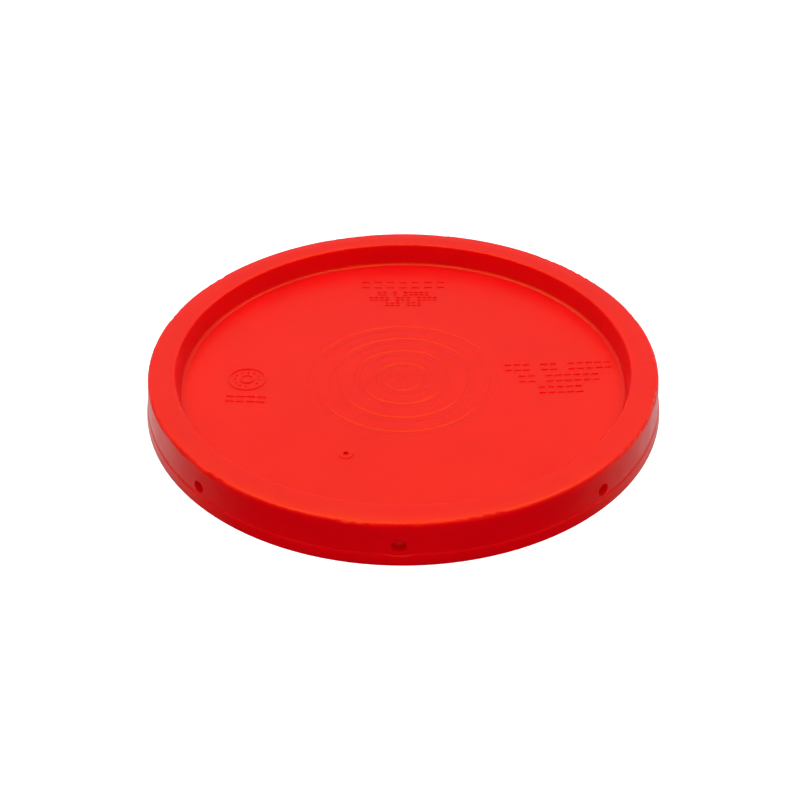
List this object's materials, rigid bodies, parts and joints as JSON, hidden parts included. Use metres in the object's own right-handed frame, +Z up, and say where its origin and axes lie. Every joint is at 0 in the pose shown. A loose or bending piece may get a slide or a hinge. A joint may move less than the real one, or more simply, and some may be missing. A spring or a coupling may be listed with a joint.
{
  "type": "pail lid",
  "caption": "Round press-on plastic lid for a fermenting pail, with a recessed panel, a stepped skirt with tear holes and a gasket ring in its rim.",
  "frame": {"origin": "on the lid's axis, in the plane of the foot it stands on rim-down", "axes": "+Z up along the lid's axis, out of its panel; the front is at -Y"},
  "size_m": [0.3136, 0.3136, 0.0259],
  "materials": {
    "lid_plastic": "red polyethylene, satin gloss",
    "gasket_rubber": "off-white food-grade rubber, matt"
  },
  "bodies": {
    "lid": {"lid": "lid_plastic"},
    "gasket": {"gasket": "gasket_rubber"}
  },
  "joints": [
    {"name": "gasket_pull", "type": "slide", "parent": "lid", "child": "gasket", "axis": [0, 0, -1], "range_m": [0, 0.03]}
  ]
}
